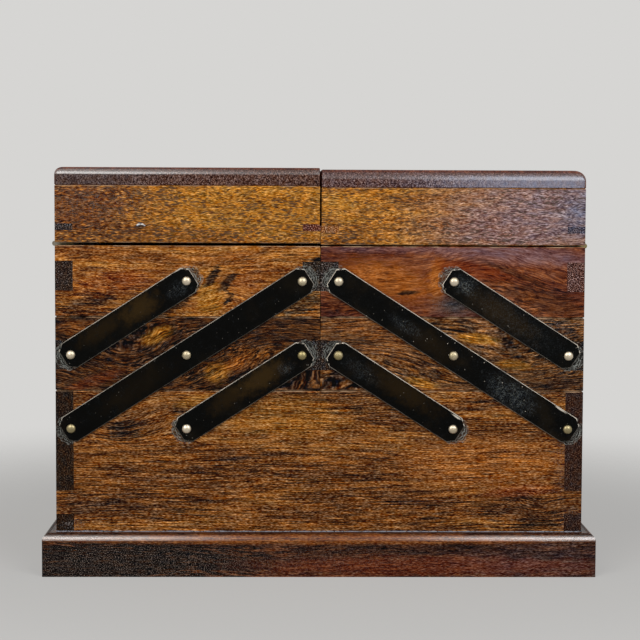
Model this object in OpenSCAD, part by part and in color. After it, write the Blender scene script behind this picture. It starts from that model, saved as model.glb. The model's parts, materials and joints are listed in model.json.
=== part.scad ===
// Hardwood expanding box. A base box on a plinth carries a middle and an upper tray on each side,
// and each upper tray has a deep lid. The trays hang on flat metal arms, and swing out level over
// the sides of the base. X runs to the right, the front looks along -Y, the plinth stands on Z = 0.

/* [Body] */
// Width of the wooden body, side to side
body_w = 286; // [260:1:310]
// Depth of the wooden body, front to back
body_d = 186; // [150:1:220]
// Thickness of the front, back and side boards
wall = 9.6; // [8:0.2:12]
// Chamfer along the outer arrises of each box
arris = 0.4; // [0.2:0.1:0.8]

/* [Plinth] */
// Height of the plinth
plinth_h = 23.5; // [16:0.5:32]
// How far the plinth stands out from the body
plinth_proud = 7; // [4:0.5:12]
// Width of a plinth rail, from its outer face to its inner face
rail_w = 30; // [24:1:40]
// Radius of the round along the top of the plinth
plinth_round = 4; // [1:0.5:6]

/* [Base box] */
// Height of the base box above the plinth
base_h = 77; // [60:1:110]
// Height of the front board's tongue above the bottom of the base box
tongue_z = 9.8; // [6:0.2:14]
// Height of the front board's tongue at each corner of the base box
tongue_h = 12.8; // [8:0.2:20]

/* [Trays] */
// Height from the base rim to the middle tray's rim, which is also the rise of one arm link
middle_h = 40; // [34:1:48]
// Height from the middle tray's rim to the upper tray's rim
upper_h = 38.5; // [34:0.5:52]
// Gap under each tray, above the rim below it
stack_gap = 0.3; // [0.2:0.1:0.6]
// Gap between the left and the right trays
split_gap = 0.3; // [0.2:0.1:0.8]
// Height of the corner finger above the bottom of a middle tray
middle_finger_z = 11.2; // [8:0.2:16]
// Height of the corner finger above the bottom of an upper tray
upper_finger_z = 13.9; // [8:0.1:16]
// Height of a tray's corner finger
finger_h = 16; // [10:0.5:17]

/* [Floors] */
// Thickness of the floor panels
floor_t = 5; // [3:0.5:7]
// Height of a floor panel above the bottom edge of its box
floor_lift = 3; // [1:0.5:5]
// How far a floor panel reaches into the boards round it
groove = 4; // [2:0.5:6]

/* [Lids] */
// Height of a lid, its top board included
lid_h = 40.5; // [32:0.5:60]
// Thickness of a lid's top board
top_t = 9.7; // [7:0.1:14]
// Radius of the round along the top of the lids
lid_round = 4.5; // [1:0.5:6]
// How far the top board stands out over the lid's skirt
top_proud = 0.3; // [0.1:0.1:1]
// Height of the small corner finger above the bottom of a lid
lid_finger_z = 6.6; // [4:0.2:10]
// Height of a lid's small corner finger
lid_finger_h = 3.6; // [2:0.2:8]
// Open split between the two lids
lid_split = 1; // [0.6:0.1:2]
// Gap between the lids along the strip where they meet, under the split
lid_meet = 0.2; // [0.1:0.1:0.4]
// Height of the strip where the lids meet
meet_h = 9.3; // [5:0.1:15]
// Gap between the left lid and its tray
left_lid_gap = 1.6; // [0.8:0.1:1.8]
// Gap between the right lid and its tray
right_lid_gap = 0.8; // [0.8:0.1:1.8]

/* [Arms] */
// Width of an arm
arm_w = 15.5; // [12:0.5:20]
// Thickness of an arm
arm_t = 1.4; // [1:0.1:2]
// How far an arm runs past its end pivots
arm_end = 4.6; // [4:0.1:7]
// Length of the corner cut along the arm
cant_along = 3.6; // [2:0.1:4]
// Length of the corner cut across the arm
cant_across = 2.9; // [2:0.1:4]
// Radius of the notch in the middle of each cut corner
nick_r = 0.8; // [0.4:0.1:1.2]
// Width of the filed bevel round the face of an arm
bevel = 0.35; // [0.2:0.05:0.6]
// Gap between an arm and the boards behind it
arm_gap = 0.3; // [0.2:0.1:0.6]
// Distance of the outermost pivots from the side faces of the body
pivot_side = 8.5; // [7:0.1:14]
// Distance of the innermost pivots from the centre line of the body
pivot_centre = 9.8; // [9:0.1:14]
// Depth of each pivot below the rim of its box
pivot_drop = 20.4; // [17:0.2:23]

/* [Rivets] */
// Diameter of a rivet's domed head
head_d = 5.2; // [4.4:0.1:7]
// Height of a rivet's domed head
head_h = 1.5; // [1:0.1:2.2]
// Diameter of a rivet's shank
shank_d = 3; // [2:0.1:3.6]
// How deep a rivet is driven into the boards
rivet_depth = 7.4; // [5:0.1:7.8]
// Radial clearance round a rivet's shank
rivet_fit = 0.05; // [0.03:0.01:0.08]
// Gap between an arm and the head over it
head_gap = 0.2; // [0.1:0.05:0.4]

/* [Lid hinges] */
// Length of a hinge
hinge_len = 30; // [20:1:45]
// Distance of each hinge from the front or back face
hinge_inset = 10.5; // [10:0.5:30]
// Diameter of the hinge knuckle
knuckle_d = 2.8; // [2.4:0.1:4]
// Number of knuckles in a hinge, an odd number
knuckles = 5; // [3:2:7]
// Diameter of the hinge pin
pin_d = 1.4; // [1:0.1:1.6]
// Radial clearance of the hinge pin
pin_fit = 0.05; // [0.03:0.01:0.08]
// Thickness of a hinge leaf
leaf_t = 0.9; // [0.9:0.05:1.2]
// Width of a hinge leaf on its board
leaf_w = 8.6; // [6:0.1:8.8]
// Gap between neighbouring knuckles, and between a leaf and the other leaf's knuckles
knuckle_gap = 0.2; // [0.1:0.05:0.4]
// Gap between the closed leaves
leaf_play = 0.1; // [0.05:0.05:0.2]
// Number of screws in a leaf
screws = 3; // [2:1:4]
// Diameter of a screw's countersunk head
screw_head_d = 3; // [2.4:0.1:3.4]
// Diameter of a screw's shank
screw_d = 1.6; // [1.2:0.1:2]
// Length of a screw
screw_len = 7; // [5:0.5:10]
// Radial clearance round a screw
screw_fit = 0.05; // [0.03:0.01:0.08]

/* [Hidden] */
$fn = 64;
// Overshoot of a cut past the face that it opens
over = 1;
// Play at the edges of a floor panel in its grooves
panel_play = 0.4;
left = -1;
right = 1;
half_w = body_w / 2;
half_d = body_d / 2;

// Heights of the rims and undersides
base_rim = plinth_h + base_h;
middle_low = base_rim + stack_gap;
middle_rim = base_rim + middle_h;
upper_low = middle_rim + stack_gap;
upper_rim = middle_rim + upper_h;

// Places of the pivots on the right side: outermost, between and innermost
pivot_pitch = (half_w - pivot_side - pivot_centre) / 2;
pivot_out = half_w - pivot_side;
pivot_mid = pivot_out - pivot_pitch;
pivot_in = pivot_mid - pivot_pitch;
base_pivot_z = base_rim - pivot_drop;
middle_pivot_z = base_pivot_z + middle_h;
upper_pivot_z = middle_pivot_z + middle_h;
link = norm([pivot_pitch, middle_h]);
link_tilt = atan2(middle_h, -pivot_pitch);

// Layers outside the front and back faces
arm_back = half_d + arm_gap;
arm_face = arm_back + arm_t;
head_seat = arm_face + head_gap;

// Hinge places, on the right side
knuckle_r = knuckle_d / 2;
hinge_x = half_w + knuckle_r;
leaf_edge = half_w - knuckle_gap;
screw_x = leaf_edge - leaf_w / 2;
countersink = leaf_t * 0.75;

// Colours of the woods and metals
amber = "#9c5f2a";
brown = "#7a4722";
red_brown = "#6d3020";
dark_top = "#56332b";
end_grain = "#3c2620";
plinth_red = "#522a1e";
floor_wood = "#8a6038";
black_metal = "#16120f";
nickel = "#bdb4a2";
brass = "#8d7a4e";

function lid_gap(side) = side == left ? left_lid_gap : right_lid_gap;
function lid_low(side) = upper_rim + lid_gap(side);
function hinge_z(side) = upper_rim + lid_gap(side) / 2;

// A box is [inner x, outer x, lowest z, highest z, corner fingers as [z from, z to], pivots as [x, z]]
base_box = [
    -half_w, half_w, plinth_h, base_rim,
    [[plinth_h, plinth_h + tongue_z], [plinth_h + tongue_z + tongue_h, base_rim]],
    [[-pivot_out, base_pivot_z], [-pivot_mid, base_pivot_z],
     [pivot_mid, base_pivot_z], [pivot_out, base_pivot_z]]
];
middle_box = [
    split_gap / 2, half_w, middle_low, middle_rim,
    [[middle_low + middle_finger_z, middle_low + middle_finger_z + finger_h]],
    [[pivot_in, middle_pivot_z], [pivot_mid, middle_pivot_z], [pivot_out, middle_pivot_z]]
];
upper_box = [
    split_gap / 2, half_w, upper_low, upper_rim,
    [[upper_low + upper_finger_z, upper_low + upper_finger_z + finger_h]],
    [[pivot_in, upper_pivot_z], [pivot_mid, upper_pivot_z]]
];
function lid_box(side) = [
    lid_meet / 2, half_w, lid_low(side), lid_low(side) + lid_h - top_t,
    [[lid_low(side) + lid_finger_z, lid_low(side) + lid_finger_z + lid_finger_h]],
    []
];

// A block between two opposite corners
module block(low, high) {
    translate(low) cube(high - low);
}

// What is drawn for the right side, or mirrored to the left
module sided(side) {
    if (side == left) mirror([1, 0, 0]) children();
    else children();
}

// The same thing at the front and at the back
module front_and_back() {
    children();
    mirror([0, 1, 0]) children();
}

// Flat outline extruded along Y, with its second direction standing up as Z
module along_y(from, to) {
    translate([0, to, 0]) rotate([90, 0, 0]) linear_extrude(to - from) children();
}

// Flat outline in Y and Z, extruded along X
module along_x(from, to) {
    translate([from, 0, 0]) rotate([90, 0, 90]) linear_extrude(to - from) children();
}

// Rectangle between two corners, with its own corners cut off
module cut_rectangle(low, high, cut) {
    polygon([
        [low.x + cut, low.y], [high.x - cut, low.y], [high.x, low.y + cut], [high.x, high.y - cut],
        [high.x - cut, high.y], [low.x + cut, high.y], [low.x, high.y - cut], [low.x, low.y + cut]
    ]);
}

// What is cut off an outline to round its corner at the origin, with the material towards -X and -Y
module corner_round(r) {
    difference() {
        translate([-r, -r]) square(r + over);
        translate([-r, -r]) circle(r);
    }
}

// Outer form of a box, with chamfered arrises
module box_form(box) {
    intersection() {
        along_y(-half_d, half_d) cut_rectangle([box[0], box[2]], [box[1], box[3]], arris);
        along_x(box[0], box[1]) cut_rectangle([-half_d, box[2]], [half_d, box[3]], arris);
    }
}

// Fingers of the side boards, which show as end grain in the front and back faces
module corner_fingers(box, from_x, to_x) {
    for (finger = box[4])
        front_and_back()
            block([from_x, -half_d - over, finger[0]], [to_x, -half_d + wall, finger[1]]);
}

// Floor panel of a box, with extra room all round it when its grooves are cut
module floor_panel(box, room) {
    reach = wall - groove - room;
    block([box[0] + reach, -half_d + reach, box[2] + floor_lift],
          [box[1] - reach, half_d - reach, box[2] + floor_lift + floor_t]);
}

// Blind holes for the rivets, at the front and the back
module rivet_holes(box) {
    for (pivot = box[5])
        front_and_back()
            translate([pivot.x, -half_d - over, pivot[1]]) rotate([-90, 0, 0])
                cylinder(r = shank_d / 2 + rivet_fit, h = rivet_depth + over);
}

// Front of a box over its full width, with room at its ends for the fingers of the side boards
module front_blank(box) {
    difference() {
        intersection() {
            block([box[0], -half_d, box[2]], [box[1], -half_d + wall, box[3]]);
            box_form(box);
        }
        corner_fingers(box, box[0] - over, box[0] + wall);
        corner_fingers(box, box[1] - wall, box[1] + over);
    }
}

// Side of a box between its front and back, with its fingers running out through them
module side_blank(box, from_x) {
    intersection() {
        union() {
            block([from_x, -half_d + wall, box[2]], [from_x + wall, half_d - wall, box[3]]);
            corner_fingers(box, from_x, from_x + wall);
        }
        box_form(box);
    }
}

// Front board, grooved for the floor and drilled for the rivets
module front_board(box) {
    difference() {
        front_blank(box);
        floor_panel(box, panel_play);
        rivet_holes(box);
    }
}

module back_board(box) {
    mirror([0, 1, 0]) front_board(box);
}

// Side board, grooved for the floor, with the rivets in its fingers
module side_board(box, from_x) {
    difference() {
        side_blank(box, from_x);
        floor_panel(box, panel_play);
        rivet_holes(box);
    }
}

// Plinth rail along X at the front, mitred at its ends
module plinth_rail(length, depth) {
    front = -depth / 2;
    tip = length / 2;
    intersection() {
        along_x(-tip, tip)
            difference() {
                translate([front, 0]) square([rail_w, plinth_h]);
                translate([front, plinth_h]) mirror([1, 0]) corner_round(plinth_round);
            }
        linear_extrude(plinth_h)
            polygon([
                [-tip + arris, front], [tip - arris, front], [tip - arris / 2, front + arris / 2],
                [tip - rail_w, front + rail_w], [-tip + rail_w, front + rail_w],
                [-tip + arris / 2, front + arris / 2]
            ]);
    }
}

module plinth_long_rail() {
    plinth_rail(body_w + 2 * plinth_proud, body_d + 2 * plinth_proud);
}

module plinth_short_rail() {
    rotate([0, 0, 90]) plinth_rail(body_d + 2 * plinth_proud, body_w + 2 * plinth_proud);
}

// Top board of a lid, rounded over along its front, back and outer edges
module top_board(side) {
    low = lid_low(side) + lid_h - top_t;
    high = low + top_t;
    inner = lid_split / 2;
    outer = half_w + top_proud;
    front = half_d + top_proud;
    intersection() {
        along_y(-front, front)
            difference() {
                cut_rectangle([inner, low], [outer, high], arris);
                translate([outer, high]) corner_round(lid_round);
            }
        along_x(inner, outer)
            difference() {
                cut_rectangle([-front, low], [front, high], arris);
                translate([front, high]) corner_round(lid_round);
                translate([-front, high]) mirror([1, 0]) corner_round(lid_round);
            }
    }
}

// Split between the lids, above the strip where they meet
module lid_split_cut(side) {
    low = lid_low(side);
    block([-over, -half_d - over, low + meet_h], [lid_split / 2, half_d + over, low + lid_h]);
}

// Shallow housings for the hinge leaves, in the tray's rim or the lid's lower edge
module leaf_housings(side, up) {
    seat = hinge_z(side) + up * (leaf_play / 2 + leaf_t);
    each_hinge()
        block([leaf_edge - leaf_w, 0, min(seat, seat - up * 2 * over)],
              [half_w + over, hinge_len, max(seat, seat - up * 2 * over)]);
}

// The hinges start at Y = 0 here, and the second is the first one's mirror image
module each_hinge() {
    front_and_back() translate([0, -half_d + hinge_inset, 0]) children();
}

// Places along a leaf for its screws
function screw_y(i) = hinge_len * (i + 0.5) / screws;

// One countersunk screw with its head's face at the origin, pointing down
module screw(room) {
    translate([0, 0, -countersink])
        cylinder(r1 = screw_d / 2 + room, r2 = screw_head_d / 2 + room, h = countersink);
    translate([0, 0, -screw_len]) cylinder(r = screw_d / 2 + room, h = screw_len);
}

// Screws of both hinges: in the tray they point down, in the lid they point up
module hinge_screws(side, up, room) {
    face = hinge_z(side) + up * leaf_play / 2;
    each_hinge()
        for (i = [0 : screws - 1])
            translate([screw_x, screw_y(i), face])
                if (up > 0) mirror([0, 0, 1]) screw(room);
                else screw(room);
}

// Leaves of both hinges: the tray's have the first, third and fifth knuckle, the lid's the others
module hinge_leaves(side, up) {
    axis_z = hinge_z(side);
    near = axis_z + up * leaf_play / 2;
    far = near + up * leaf_t;
    pitch = hinge_len / knuckles;
    first = up > 0 ? 1 : 0;
    difference() {
        each_hinge() {
            block([leaf_edge - leaf_w, 0, min(near, far)], [leaf_edge, hinge_len, max(near, far)]);
            for (i = [first : 2 : knuckles - 1]) {
                from_y = i * pitch + (i > 0 ? knuckle_gap / 2 : 0);
                to_y = (i + 1) * pitch - (i < knuckles - 1 ? knuckle_gap / 2 : 0);
                block([leaf_edge - over, from_y, min(near, far)], [hinge_x, to_y, max(near, far)]);
                translate([hinge_x, from_y, axis_z]) rotate([-90, 0, 0])
                    cylinder(r = knuckle_r, h = to_y - from_y);
            }
        }
        each_hinge()
            translate([hinge_x, -over, axis_z]) rotate([-90, 0, 0])
                cylinder(r = pin_d / 2 + pin_fit, h = hinge_len + 2 * over);
        hinge_screws(side, up, screw_fit);
    }
}

module hinge_pins_of(side) {
    each_hinge()
        translate([hinge_x, 0, hinge_z(side)]) rotate([-90, 0, 0]) cylinder(r = pin_d / 2, h = hinge_len);
}

// Outline of an arm from its first pivot at the origin, drawn in by the width of the bevel
module arm_outline(length, inset) {
    tip = arm_end - inset;
    side = arm_w / 2 - inset;
    polygon([
        [-tip, side - cant_across], [-tip + cant_along, side],
        [length + tip - cant_along, side], [length + tip, side - cant_across],
        [length + tip, cant_across - side], [length + tip - cant_along, -side],
        [-tip + cant_along, -side], [-tip, cant_across - side]
    ]);
}

// One flat arm with a pivot hole at each end and after each link, its bevelled face upwards
module arm(links) {
    length = links * link;
    difference() {
        hull() {
            linear_extrude(arm_t - bevel) arm_outline(length, 0);
            linear_extrude(arm_t) arm_outline(length, bevel);
        }
        for (i = [0 : links])
            translate([i * link, 0, -over]) cylinder(r = shank_d / 2 + rivet_fit, h = arm_t + 2 * over);
        for (x = [-arm_end + cant_along / 2, length + arm_end - cant_along / 2])
            for (side = [-1, 1])
                translate([x, side * (arm_w - cant_across) / 2, -over])
                    cylinder(r = nick_r, h = arm_t + 2 * over, $fn = 24);
    }
}

// A pair of arms, front and back, from the pivot at x and z up towards the centre line
module arm_pair(x, z, links) {
    front_and_back()
        translate([x, -arm_back, z]) rotate([90, 0, 0]) rotate([0, 0, link_tilt]) arm(links);
}

// One rivet along -Y, its shank driven into a board and its dome standing over the arm
module rivet() {
    dome_r = (pow(head_d / 2, 2) + pow(head_h, 2)) / (2 * head_h);
    translate([0, -half_d + rivet_depth, 0]) rotate([90, 0, 0])
        cylinder(r = shank_d / 2, h = head_seat - half_d + rivet_depth);
    intersection() {
        translate([0, -head_seat - head_h + dome_r, 0]) sphere(dome_r);
        translate([0, -head_seat, 0]) rotate([90, 0, 0]) cylinder(r = head_d, h = head_h + over);
    }
}

module rivets_of(box) {
    front_and_back()
        for (pivot = box[5]) translate([pivot.x, 0, pivot[1]]) rivet();
}

// Base and plinth
module base_front_board() color(amber) front_board(base_box);
module base_back_board() color(amber) back_board(base_box);
module base_left_board() color(end_grain) side_board(base_box, -half_w);
module base_right_board() color(end_grain) side_board(base_box, half_w - wall);
module base_floor() color(floor_wood) floor_panel(base_box, 0);
module plinth_front_rail() color(plinth_red) plinth_long_rail();
module plinth_back_rail() color(plinth_red) rotate([0, 0, 180]) plinth_long_rail();
module plinth_left_rail() color(plinth_red) rotate([0, 0, 180]) plinth_short_rail();
module plinth_right_rail() color(plinth_red) plinth_short_rail();
module base_rivets() color(nickel) rivets_of(base_box);

// Middle trays
module middle_front(side) color(side == left ? brown : amber) sided(side) front_board(middle_box);
module middle_back(side) color(brown) sided(side) back_board(middle_box);
module middle_outer(side) color(end_grain) sided(side) side_board(middle_box, half_w - wall);
module middle_inner(side) color(end_grain) sided(side) side_board(middle_box, middle_box[0]);
module middle_floor(side) color(floor_wood) sided(side) floor_panel(middle_box, 0);
module middle_rivets(side) color(nickel) sided(side) rivets_of(middle_box);

// Upper trays, with the hinge leaves let into the outer boards
module upper_front(side) color(side == left ? brown : red_brown) sided(side) front_board(upper_box);
module upper_back(side) color(brown) sided(side) back_board(upper_box);
module upper_outer(side) color(end_grain) sided(side)
    difference() {
        side_board(upper_box, half_w - wall);
        leaf_housings(side, -1);
        hinge_screws(side, -1, screw_fit);
    }
module upper_inner(side) color(end_grain) sided(side) side_board(upper_box, upper_box[0]);
module upper_floor(side) color(floor_wood) sided(side) floor_panel(upper_box, 0);
module upper_rivets(side) color(nickel) sided(side) rivets_of(upper_box);

// Lids, each a skirt of four boards under a rounded top board
module lid_top(side) color(dark_top) sided(side) top_board(side);
module lid_front(side) color(amber) sided(side)
    difference() {
        front_blank(lid_box(side));
        lid_split_cut(side);
    }
module lid_back(side) color(amber) sided(side)
    difference() {
        mirror([0, 1, 0]) front_blank(lid_box(side));
        lid_split_cut(side);
    }
module lid_outer(side) color(end_grain) sided(side)
    difference() {
        side_blank(lid_box(side), half_w - wall);
        leaf_housings(side, 1);
        hinge_screws(side, 1, screw_fit);
    }
module lid_inner(side) color(end_grain) sided(side)
    difference() {
        side_blank(lid_box(side), lid_meet / 2);
        lid_split_cut(side);
    }

// Arms
module long_arms(side) color(black_metal) sided(side) arm_pair(pivot_out, base_pivot_z, 2);
module upper_arms(side) color(black_metal) sided(side) arm_pair(pivot_out, middle_pivot_z, 1);
module lower_arms(side) color(black_metal) sided(side) arm_pair(pivot_mid, base_pivot_z, 1);

// Lid hinges
module tray_hinge_leaves(side) color(brass) sided(side) hinge_leaves(side, -1);
module lid_hinge_leaves(side) color(brass) sided(side) hinge_leaves(side, 1);
module hinge_pins(side) color(brass) sided(side) hinge_pins_of(side);
module tray_hinge_screws(side) color(nickel) sided(side) hinge_screws(side, -1, 0);
module lid_hinge_screws(side) color(nickel) sided(side) hinge_screws(side, 1, 0);

base_front_board();
base_back_board();
base_left_board();
base_right_board();
base_floor();
plinth_front_rail();
plinth_back_rail();
plinth_left_rail();
plinth_right_rail();
base_rivets();
middle_front(left);  // left_middle_front
middle_back(left);  // left_middle_back
middle_outer(left);  // left_middle_outer
middle_inner(left);  // left_middle_inner
middle_floor(left);  // left_middle_floor
middle_rivets(left);  // left_middle_rivets
middle_front(right);  // right_middle_front
middle_back(right);  // right_middle_back
middle_outer(right);  // right_middle_outer
middle_inner(right);  // right_middle_inner
middle_floor(right);  // right_middle_floor
middle_rivets(right);  // right_middle_rivets
upper_front(left);  // left_upper_front
upper_back(left);  // left_upper_back
upper_outer(left);  // left_upper_outer
upper_inner(left);  // left_upper_inner
upper_floor(left);  // left_upper_floor
upper_rivets(left);  // left_upper_rivets
upper_front(right);  // right_upper_front
upper_back(right);  // right_upper_back
upper_outer(right);  // right_upper_outer
upper_inner(right);  // right_upper_inner
upper_floor(right);  // right_upper_floor
upper_rivets(right);  // right_upper_rivets
lid_top(left);  // left_lid_top
lid_front(left);  // left_lid_front
lid_back(left);  // left_lid_back
lid_outer(left);  // left_lid_outer
lid_inner(left);  // left_lid_inner
lid_top(right);  // right_lid_top
lid_front(right);  // right_lid_front
lid_back(right);  // right_lid_back
lid_outer(right);  // right_lid_outer
lid_inner(right);  // right_lid_inner
long_arms(left);  // left_long_arms
upper_arms(left);  // left_upper_arms
lower_arms(left);  // left_lower_arms
long_arms(right);  // right_long_arms
upper_arms(right);  // right_upper_arms
lower_arms(right);  // right_lower_arms
tray_hinge_leaves(left);  // left_tray_hinge_leaves
lid_hinge_leaves(left);  // left_lid_hinge_leaves
hinge_pins(left);  // left_hinge_pins
tray_hinge_screws(left);  // left_tray_hinge_screws
lid_hinge_screws(left);  // left_lid_hinge_screws
tray_hinge_leaves(right);  // right_tray_hinge_leaves
lid_hinge_leaves(right);  // right_lid_hinge_leaves
hinge_pins(right);  // right_hinge_pins
tray_hinge_screws(right);  // right_tray_hinge_screws
lid_hinge_screws(right);  // right_lid_hinge_screws
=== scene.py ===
"""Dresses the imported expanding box: woods, metals, lid tops, rivets, wax line and stage."""
import json
import math

import bmesh
import bpy
from mathutils import Matrix, Vector, noise


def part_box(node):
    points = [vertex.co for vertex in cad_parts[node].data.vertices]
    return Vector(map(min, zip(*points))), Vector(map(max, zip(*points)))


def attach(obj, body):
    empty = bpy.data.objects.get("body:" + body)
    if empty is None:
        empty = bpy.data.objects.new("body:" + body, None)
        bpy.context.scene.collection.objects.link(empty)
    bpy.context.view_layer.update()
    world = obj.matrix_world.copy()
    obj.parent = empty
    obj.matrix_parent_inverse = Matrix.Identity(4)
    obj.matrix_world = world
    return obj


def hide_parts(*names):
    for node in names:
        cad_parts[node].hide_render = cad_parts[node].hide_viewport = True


bl_info = {
    "name": "Expanding Box",
    "version": (1, 0, 0),
    "blender": (4, 5, 0),
    "location": "3D View > Sidebar > Expanding Box",
    "description": "Finishes a hardwood expanding box with its arms, rivets, hinges and stage",
    "category": "Object",
}

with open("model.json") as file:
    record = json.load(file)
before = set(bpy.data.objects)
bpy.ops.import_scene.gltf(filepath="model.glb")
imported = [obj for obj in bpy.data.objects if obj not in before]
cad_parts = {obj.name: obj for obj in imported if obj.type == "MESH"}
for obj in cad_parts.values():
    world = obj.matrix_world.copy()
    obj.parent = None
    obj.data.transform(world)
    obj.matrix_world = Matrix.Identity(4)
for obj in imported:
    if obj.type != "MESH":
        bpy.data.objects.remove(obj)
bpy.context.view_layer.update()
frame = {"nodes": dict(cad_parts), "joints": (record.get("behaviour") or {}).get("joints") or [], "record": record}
MM = 0.001
SIDES = {"left": -1, "right": 1}

# Places that come from the frame, in metres
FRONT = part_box("base_front_board")[0].y
HALF_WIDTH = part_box("base_right_board")[1].x
PLINTH_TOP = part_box("plinth_front_rail")[1].z
HEAD_FACE = -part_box("base_rivets")[0].y
JOINTS = {joint["name"]: Vector(joint["pos_m"]) for joint in frame["joints"]}


def pivots_of(side):
    """Where the arms of one side turn, listed by the body that holds each rivet."""
    base = JOINTS[f"{side}_swing"]
    lower = JOINTS[f"{side}_lower_arms_swing"]
    middle = JOINTS[f"{side}_middle_tray_level"]
    upper = JOINTS[f"{side}_upper_arms_swing"]
    link = middle - base
    return {
        "base": [base, lower],
        f"{side}_middle_tray": [upper, middle, lower + link],
        f"{side}_upper_tray": [upper + link, middle + link],
    }


def arm_ends(body):
    """Where arms end on a body: their end pivots, moved on a little towards the arm's own end."""
    past_pivot = 1.2 * MM
    ends = []
    for side in SIDES:
        link = (JOINTS[f"{side}_middle_tray_level"] - JOINTS[f"{side}_swing"]).normalized()
        ways = {"base": (-1, -1), f"{side}_middle_tray": (-1, 0, 1), f"{side}_upper_tray": (1, 1)}
        for pivot, way in zip(pivots_of(side).get(body, ()), ways.get(body, ())):
            if way:
                ends.append(pivot + link * way * past_pivot)
    return ends


def rivets_by_body():
    """All the pivots, listed by body."""
    found = {}
    for side in SIDES:
        for body, pivots in pivots_of(side).items():
            found.setdefault(body, []).extend(pivots)
    return found


def shade(*tone):
    """A colour read as 0 to 255 on a screen, as the linear colour that a shader takes."""
    parts = [value / 255 for value in tone]
    return tuple(part / 12.92 if part <= 0.04045 else ((part + 0.055) / 1.055) ** 2.4 for part in parts)


TONES = {"dark": "Dark streaks", "mid": "Main colour", "light": "Light streaks"}
# Each timber: where it is, its three tones as 0 to 255, and how it differs from a plain Timber
TIMBERS = {
    "lid": ("lid skirts", (112, 62, 18), (166, 108, 42), (198, 136, 52), dict(
        fibres=0.7, reach=4, flecks=0.65, furrows=0.5, pores=0.8, ripple=1.8,
        pore_share=0.47, pore_reach=3.5, pore=shade(74, 58, 48))),
    "front": ("base front", (82, 46, 20), (124, 74, 28), (162, 106, 46), dict(
        fibres=0.6, reach=22, flecks=0.9, wave=1.0, ripple=0.3, pores=0.6, pore_share=0.38,
        pore_reach=10, end_speckle=0.7)),
    "upper": ("left upper tray", (104, 56, 24), (146, 88, 34), (184, 122, 52), dict(
        fibres=0.56, reach=16, flecks=0.8, furrows=0.8, pores=0.4, pore_share=0.36, pore_reach=12)),
    "middle": ("left middle tray", (40, 22, 10), (64, 36, 17), (102, 60, 22), dict(
        fibres=0.8, reach=12, furrows=0.8, wave=3, ripple=1.4, pore_share=0.4, pore_reach=8)),
    "brown": ("right middle tray", (50, 30, 18), (100, 65, 34), (150, 96, 54), dict(
        fibres=0.8, reach=14, flecks=0.7, wave=2.4, pores=0.55, pore_share=0.42, pore_reach=10)),
    "red": ("right upper tray", (74, 36, 28), (104, 51, 30), (148, 88, 54), dict(
        fibres=0.45, reach=10, flecks=0.25, furrows=0.6, wave=3.5, ripple=1.2,
        pores=0.4, pore_share=0.36, pore_reach=8, end_speckle=1.4)),
    "top": ("lid tops", (74, 36, 30), (112, 60, 46), (142, 86, 66), dict(
        fibres=0.4, reach=10, flecks=0.3, furrows=0.4, pores=0.4, pore_share=0.36,
        roughness=0.4, end_speckle=0.75)),
    "plinth": ("plinth", (38, 20, 13), (68, 38, 23), (116, 64, 34), dict(
        figure=0.45, fibres=0.36, reach=12, flecks=0.6, furrows=0.6, pore_share=0.36,
        pore_reach=5, coat=0.95, handled=(20, 120, 0.12), dust_tone=shade(146, 130, 120))),
    "floor": ("floor panels", (116, 78, 46), (156, 112, 70), (182, 138, 92), dict(
        fibres=0.6, pores=0.4, dust=0.1, roughness=0.6)),
}


def colour(name, description, *tone):
    """A colour setting with its default given as 0 to 255."""
    return bpy.props.FloatVectorProperty(
        name=name, description=description, subtype="COLOR", size=3, min=0, max=1, default=shade(*tone))


def length(name, description, millimetres):
    """A length setting with its default given in millimetres."""
    return bpy.props.FloatProperty(name=name, description=description, subtype="DISTANCE",
                                   unit="LENGTH", min=0, default=millimetres * MM)


def angle(name, description, degrees):
    """An angle setting with its default given in degrees."""
    return bpy.props.FloatProperty(name=name, description=description, subtype="ANGLE",
                                   unit="ROTATION", default=math.radians(degrees))


class BOX_PG_woods(bpy.types.PropertyGroup):
    """Colours of the timbers, and of what lies on them and in them."""
    end_grain: colour("End grain", "Colour that end grain takes from the oil", 27, 17, 12)
    pore: colour("Pores", "Dark of the open pores", 26, 14, 7)
    dust: colour("Dust", "Grey wax and dust in the pores", 132, 124, 122)
    scratch: colour("Scratches", "Grey-white scratches round the arm ends", 150, 152, 146)
    grime: colour("Grime", "Dark grime round the arm ends", 34, 34, 31)
    worn: colour("Worn arris", "Pale wood along the worn arrises", 184, 150, 118)
    wax: colour("Wax", "Old wax along the foot of the base box", 150, 154, 166)


for timber_name, (where, *tones, _) in TIMBERS.items():
    for (part, words), tone in zip(TONES.items(), tones):
        BOX_PG_woods.__annotations__[f"{timber_name}_{part}"] = colour(
            f"{timber_name.capitalize()}, {part}", f"{words} of the {where}", *tone)


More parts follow.
